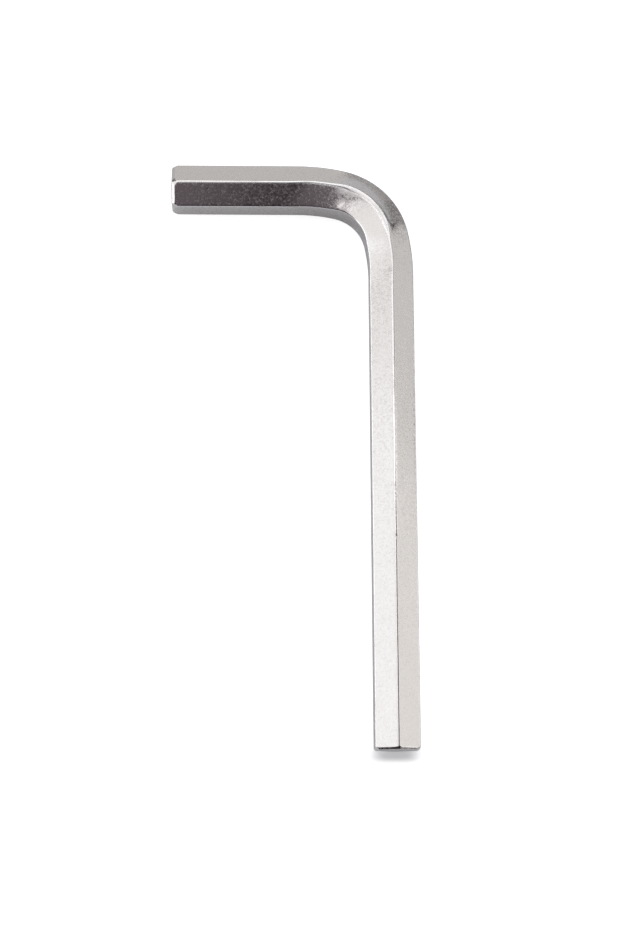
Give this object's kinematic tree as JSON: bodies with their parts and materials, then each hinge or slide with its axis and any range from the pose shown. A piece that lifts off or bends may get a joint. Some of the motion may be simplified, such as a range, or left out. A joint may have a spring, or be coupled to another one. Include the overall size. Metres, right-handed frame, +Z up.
{
  "type": "hex key",
  "caption": "L-shaped hexagonal wrench key: one hexagonal steel bar with a short arm, a rounded right-angle bend, a long arm and chamfered ends.",
  "frame": {"origin": "centre of the footprint, on the surface the key lies on; that surface touches the lowest long corner of both arms and of the bend", "axes": "+Z up, square to the plane of the two arms; the short arm points to -X and the long arm points to -Y; the outside of the bend is towards +X and +Y"},
  "size_m": [0.0276, 0.0668, 0.0057],
  "materials": {
    "plated_steel": "hexagonal steel bar under a bright nickel plating, satin, with a fine drawn grain"
  },
  "bodies": {
    "root": {"key_bar": "plated_steel"}
  },
  "joints": []
}
